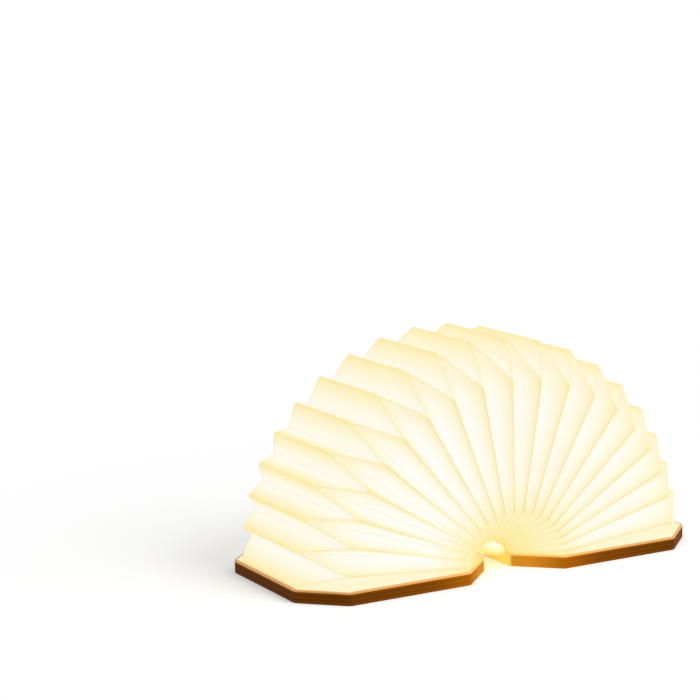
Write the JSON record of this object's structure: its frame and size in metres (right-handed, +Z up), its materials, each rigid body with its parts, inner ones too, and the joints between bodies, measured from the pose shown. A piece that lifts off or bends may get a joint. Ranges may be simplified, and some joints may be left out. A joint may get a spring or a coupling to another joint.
{
  "type": "folding book lamp",
  "caption": "Folding book lamp: octagonal wooden covers joined by a ring of pleated paper that opens into a glowing fan round a light bar in the spine.",
  "frame": {"origin": "on the surface the lamp lies on, midway between the covers and midway along the spine", "axes": "+X from the left cover to the right cover, +Y along the spine to the back, where the charging socket is, +Z up"},
  "size_m": [0.3314, 0.155, 0.1679],
  "materials": {
    "walnut": "satin",
    "plywood": "matte",
    "birch": "satin",
    "paper": "matte",
    "bar_base": "satin",
    "diffuser": "frosted",
    "light_board": "satin",
    "light_chip": "gloss",
    "cell_foil": "satin",
    "foam": "matte",
    "board_green": "satin",
    "steel": "satin",
    "socket": "satin",
    "sensor_black": "matte",
    "lead_film": "satin"
  },
  "bodies": {
    "light_bar": {"bar_channel": "bar_base", "bar_diffuser": "diffuser", "bar_cap_front": "diffuser", "bar_cap_rear": "diffuser", "light_board": "light_board", "light_chips": "light_chip", "bar_lead": "lead_film"},
    "pleat_09": {"pleat_09": "paper"},
    "pleat_08": {"pleat_08": "paper"},
    "pleat_07": {"pleat_07": "paper"},
    "pleat_06": {"pleat_06": "paper"},
    "pleat_05": {"pleat_05": "paper"},
    "pleat_04": {"pleat_04": "paper"},
    "pleat_03": {"pleat_03": "paper"},
    "pleat_02": {"pleat_02": "paper"},
    "pleat_01": {"pleat_01": "paper"},
    "left_cover": {"left_veneer": "walnut", "left_core": "plywood", "left_face": "birch", "left_end_pleat": "paper", "battery_cell": "cell_foil", "battery_pad": "foam", "control_board": "board_green", "board_screws": "steel", "charging_socket": "socket", "cover_sensor": "sensor_black", "cover_lead": "lead_film", "left_magnets": "steel"},
    "pleat_10": {"pleat_10": "paper"},
    "pleat_11": {"pleat_11": "paper"},
    "pleat_12": {"pleat_12": "paper"},
    "pleat_13": {"pleat_13": "paper"},
    "pleat_14": {"pleat_14": "paper"},
    "pleat_15": {"pleat_15": "paper"},
    "pleat_16": {"pleat_16": "paper"},
    "pleat_17": {"pleat_17": "paper"},
    "pleat_18": {"pleat_18": "paper"},
    "right_cover": {"right_veneer": "walnut", "right_core": "plywood", "right_face": "birch", "right_end_pleat": "paper", "right_magnets": "steel", "sensor_magnet": "steel"}
  },
  "joints": [
    {"name": "fold_09", "type": "hinge", "parent": "light_bar", "child": "pleat_09", "pos_m": [-0.00046, 0, 0.01188], "axis": [0, -1, 0], "range_deg": [-4.99, 4.99], "deforming": ["pleat_09"]},
    {"name": "fold_10", "type": "hinge", "parent": "light_bar", "child": "pleat_10", "pos_m": [0.00046, 0, 0.01188], "axis": [0, 1, 0], "range_deg": [-4.99, 4.99], "deforming": ["pleat_10"]},
    {"name": "fold_08", "type": "hinge", "parent": "pleat_09", "child": "pleat_08", "pos_m": [-0.00188, 0, 0.01213], "axis": [0, -1, 0], "range_deg": [-9.95, 9.95], "deforming": ["pleat_08"]},
    {"name": "fold_11", "type": "hinge", "parent": "pleat_10", "child": "pleat_11", "pos_m": [0.00188, 0, 0.01213], "axis": [0, 1, 0], "range_deg": [-9.95, 9.95], "deforming": ["pleat_11"]},
    {"name": "fold_07", "type": "hinge", "parent": "pleat_08", "child": "pleat_07", "pos_m": [-0.00397, 0, 0.01277], "axis": [0, -1, 0], "range_deg": [-9.89, 9.89], "deforming": ["pleat_07"]},
    {"name": "fold_12", "type": "hinge", "parent": "pleat_11", "child": "pleat_12", "pos_m": [0.00397, 0, 0.01277], "axis": [0, 1, 0], "range_deg": [-9.89, 9.89], "deforming": ["pleat_12"]},
    {"name": "fold_06", "type": "hinge", "parent": "pleat_07", "child": "pleat_06", "pos_m": [-0.00638, 0, 0.01357], "axis": [0, -1, 0], "range_deg": [-9.78, 9.78], "deforming": ["pleat_06"]},
    {"name": "fold_13", "type": "hinge", "parent": "pleat_12", "child": "pleat_13", "pos_m": [0.00638, 0, 0.01357], "axis": [0, 1, 0], "range_deg": [-9.78, 9.78], "deforming": ["pleat_13"]},
    {"name": "fold_05", "type": "hinge", "parent": "pleat_06", "child": "pleat_05", "pos_m": [-0.0091, 0, 0.01426], "axis": [0, -1, 0], "range_deg": [-9.63, 9.63], "deforming": ["pleat_05"]},
    {"name": "fold_14", "type": "hinge", "parent": "pleat_13", "child": "pleat_14", "pos_m": [0.0091, 0, 0.01426], "axis": [0, 1, 0], "range_deg": [-9.63, 9.63], "deforming": ["pleat_14"]},
    {"name": "fold_04", "type": "hinge", "parent": "pleat_05", "child": "pleat_04", "pos_m": [-0.01198, 0, 0.01455], "axis": [0, -1, 0], "range_deg": [-9.44, 9.44], "deforming": ["pleat_04"]},
    {"name": "fold_15", "type": "hinge", "parent": "pleat_14", "child": "pleat_15", "pos_m": [0.01198, 0, 0.01455], "axis": [0, 1, 0], "range_deg": [-9.44, 9.44], "deforming": ["pleat_15"]},
    {"name": "fold_03", "type": "hinge", "parent": "pleat_04", "child": "pleat_03", "pos_m": [-0.01475, 0, 0.01429], "axis": [0, -1, 0], "range_deg": [-9.22, 9.22], "deforming": ["pleat_03"]},
    {"name": "fold_16", "type": "hinge", "parent": "pleat_15", "child": "pleat_16", "pos_m": [0.01475, 0, 0.01429], "axis": [0, 1, 0], "range_deg": [-9.22, 9.22], "deforming": ["pleat_16"]},
    {"name": "fold_02", "type": "hinge", "parent": "pleat_03", "child": "pleat_02", "pos_m": [-0.01712, 0, 0.01342], "axis": [0, -1, 0], "range_deg": [-8.98, 8.98], "deforming": ["pleat_02"]},
    {"name": "fold_17", "type": "hinge", "parent": "pleat_16", "child": "pleat_17", "pos_m": [0.01712, 0, 0.01342], "axis": [0, 1, 0], "range_deg": [-8.98, 8.98], "deforming": ["pleat_17"]},
    {"name": "fold_01", "type": "hinge", "parent": "pleat_02", "child": "pleat_01", "pos_m": [-0.01886, 0, 0.01205], "axis": [0, -1, 0], "range_deg": [-8.72, 8.72], "deforming": ["pleat_01"]},
    {"name": "fold_18", "type": "hinge", "parent": "pleat_17", "child": "pleat_18", "pos_m": [0.01886, 0, 0.01205], "axis": [0, 1, 0], "range_deg": [-8.72, 8.72], "deforming": ["pleat_18"]},
    {"name": "left_cover_fold", "type": "hinge", "parent": "pleat_01", "child": "left_cover", "pos_m": [-0.01982, 0, 0.01033], "axis": [0, -1, 0], "range_deg": [-9.4, 9.4], "deforming": ["left_end_pleat"]},
    {"name": "right_cover_fold", "type": "hinge", "parent": "pleat_18", "child": "right_cover", "pos_m": [0.01982, 0, 0.01033], "axis": [0, 1, 0], "range_deg": [-9.4, 9.4], "deforming": ["right_end_pleat"]}
  ],
  "couplings": [
    {"joint": "fold_10", "follows": "fold_09", "ratio": 1},
    {"joint": "fold_08", "follows": "fold_09", "ratio": 1.9955},
    {"joint": "fold_11", "follows": "fold_09", "ratio": 1.9955},
    {"joint": "fold_07", "follows": "fold_09", "ratio": 1.982},
    {"joint": "fold_12", "follows": "fold_09", "ratio": 1.982},
    {"joint": "fold_06", "follows": "fold_09", "ratio": 1.9598},
    {"joint": "fold_13", "follows": "fold_09", "ratio": 1.9598},
    {"joint": "fold_05", "follows": "fold_09", "ratio": 1.9297},
    {"joint": "fold_14", "follows": "fold_09", "ratio": 1.9297},
    {"joint": "fold_04", "follows": "fold_09", "ratio": 1.8924},
    {"joint": "fold_15", "follows": "fold_09", "ratio": 1.8924},
    {"joint": "fold_03", "follows": "fold_09", "ratio": 1.849},
    {"joint": "fold_16", "follows": "fold_09", "ratio": 1.849},
    {"joint": "fold_02", "follows": "fold_09", "ratio": 1.8006},
    {"joint": "fold_17", "follows": "fold_09", "ratio": 1.8006},
    {"joint": "fold_01", "follows": "fold_09", "ratio": 1.7485},
    {"joint": "fold_18", "follows": "fold_09", "ratio": 1.7485},
    {"joint": "left_cover_fold", "follows": "fold_09", "ratio": 1.8844},
    {"joint": "right_cover_fold", "follows": "fold_09", "ratio": 1.8844}
  ]
}
